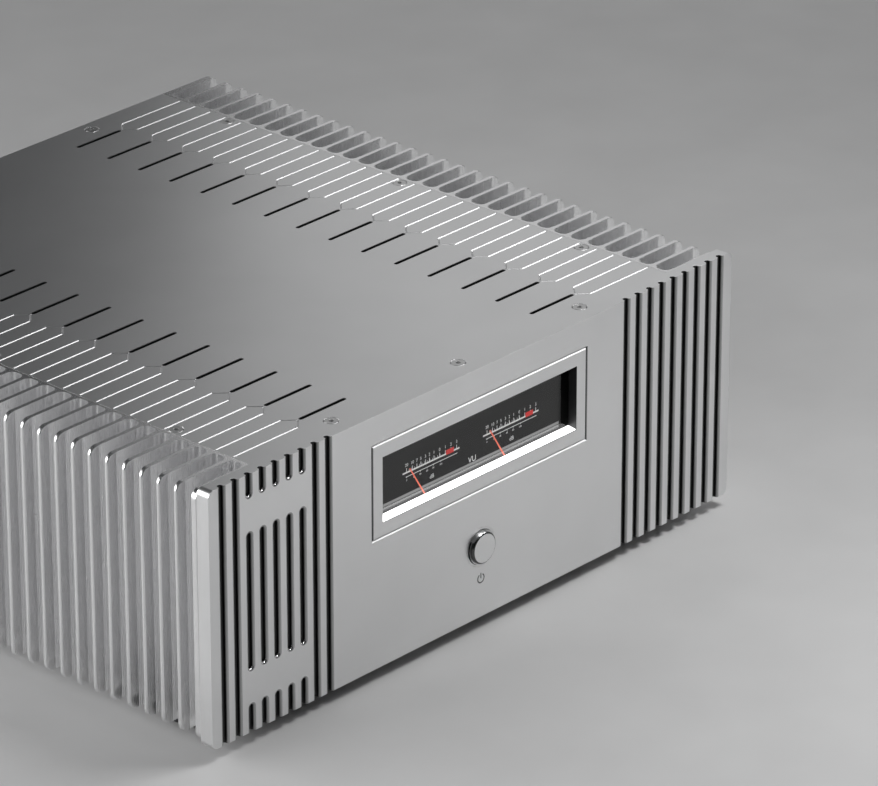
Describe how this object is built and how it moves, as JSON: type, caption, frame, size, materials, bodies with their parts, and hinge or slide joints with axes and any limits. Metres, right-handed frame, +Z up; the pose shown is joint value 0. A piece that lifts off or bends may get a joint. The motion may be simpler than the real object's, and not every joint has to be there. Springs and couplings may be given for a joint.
{
  "type": "stereo power amplifier",
  "caption": "Wide low metal audio amplifier with finned sides, a grooved front panel, twin needle meters behind a window and a round push button.",
  "frame": {"origin": "on the table under the middle of the bounding box", "axes": "+X to the right seen from the front, +Y from the front panel to the rear, +Z up"},
  "size_m": [0.43, 0.4474, 0.162],
  "materials": {
    "satin_aluminium": "satin anodised",
    "bright_aluminium": "bright turned",
    "black_steel": "black satin paint",
    "black_plastic": "matte",
    "red_plastic": "semi-gloss",
    "smoked_glass": "polished",
    "light_bar_white": "lit diffuser",
    "needle_red": "matte",
    "rubber": "matte",
    "copper_winding": "enamelled wire under tape",
    "circuit_board": "satin solder mask",
    "capacitor_sleeve": "shrunk sleeve",
    "plated_brass": "gold plated"
  },
  "bodies": {
    "chassis": {"amp_board_left": "circuit_board", "amp_board_right": "circuit_board", "bottom_plate": "black_steel", "button_sleeve": "satin_aluminium", "cover_screw_01": "bright_aluminium", "cover_screw_02": "bright_aluminium", "cover_screw_03": "bright_aluminium", "cover_screw_04": "bright_aluminium", "cover_screw_05": "bright_aluminium", "cover_screw_06": "bright_aluminium", "cover_screw_07": "bright_aluminium", "cover_screw_08": "bright_aluminium", "cover_screw_09": "bright_aluminium", "cover_screw_10": "bright_aluminium", "cover_screw_11": "bright_aluminium", "cover_screw_12": "bright_aluminium", "foot_front_left": "black_steel", "foot_front_right": "black_steel", "foot_pad_front_left": "rubber", "foot_pad_front_right": "rubber", "foot_pad_rear_left": "rubber", "foot_pad_rear_right": "rubber", "foot_rear_left": "black_steel", "foot_rear_right": "black_steel", "front_panel": "satin_aluminium", "front_rail": "satin_aluminium", "heatsink_left": "satin_aluminium", "heatsink_right": "satin_aluminium", "mains_inlet": "black_plastic", "meter_bezel": "satin_aluminium", "meter_dial_plate": "black_plastic", "meter_glass": "smoked_glass", "meter_light_bar": "light_bar_white", "meter_movement_left": "black_plastic", "meter_movement_right": "black_plastic", "power_supply_board": "circuit_board", "power_switch": "black_plastic", "rca_inputs": "plated_brass", "rear_panel": "satin_aluminium", "rear_rail": "satin_aluminium", "reservoir_capacitor_1": "capacitor_sleeve", "reservoir_capacitor_2": "capacitor_sleeve", "reservoir_capacitor_3": "capacitor_sleeve", "reservoir_capacitor_4": "capacitor_sleeve", "speaker_terminal_left": "black_plastic", "speaker_terminal_right": "black_plastic", "top_cover": "satin_aluminium", "toroidal_transformer": "copper_winding", "transformer_bolt": "bright_aluminium", "transformer_clamp": "black_steel", "xlr_input_left": "black_steel", "xlr_input_right": "black_steel"},
    "power_button": {"power_button": "bright_aluminium"},
    "needle_left": {"needle_left": "needle_red"},
    "needle_right": {"needle_right": "needle_red"},
    "mains_rocker": {"mains_rocker": "black_plastic"},
    "terminal_cap_left_black": {"terminal_cap_left_black": "black_plastic"},
    "terminal_cap_left_red": {"terminal_cap_left_red": "red_plastic"},
    "terminal_cap_right_black": {"terminal_cap_right_black": "black_plastic"},
    "terminal_cap_right_red": {"terminal_cap_right_red": "red_plastic"}
  },
  "joints": [
    {"name": "power_button_press", "type": "slide", "parent": "chassis", "child": "power_button", "axis": [0, 1, 0], "range_m": [0, 0.0025], "stiffness_N_per_m": 400},
    {"name": "needle_left_swing", "type": "hinge", "parent": "chassis", "child": "needle_left", "pos_m": [-0.033, -0.2127, 0.087], "axis": [0, 1, 0], "range_deg": [-9, 71]},
    {"name": "needle_right_swing", "type": "hinge", "parent": "chassis", "child": "needle_right", "pos_m": [0.033, -0.2127, 0.087], "axis": [0, 1, 0], "range_deg": [-9, 71]},
    {"name": "mains_rocker_tilt", "type": "hinge", "parent": "chassis", "child": "mains_rocker", "pos_m": [0, 0.1955, 0.119], "axis": [1, 0, 0], "range_deg": [-16, 0]},
    {"name": "terminal_cap_left_black_turn", "type": "hinge", "parent": "chassis", "child": "terminal_cap_left_black", "pos_m": [-0.113, 0.196, 0.104], "axis": [0, 1, 0], "range_deg": [0, 720]},
    {"name": "terminal_cap_left_red_turn", "type": "hinge", "parent": "chassis", "child": "terminal_cap_left_red", "pos_m": [-0.087, 0.196, 0.104], "axis": [0, 1, 0], "range_deg": [0, 720]},
    {"name": "terminal_cap_right_black_turn", "type": "hinge", "parent": "chassis", "child": "terminal_cap_right_black", "pos_m": [0.087, 0.196, 0.104], "axis": [0, 1, 0], "range_deg": [0, 720]},
    {"name": "terminal_cap_right_red_turn", "type": "hinge", "parent": "chassis", "child": "terminal_cap_right_red", "pos_m": [0.113, 0.196, 0.104], "axis": [0, 1, 0], "range_deg": [0, 720]}
  ]
}
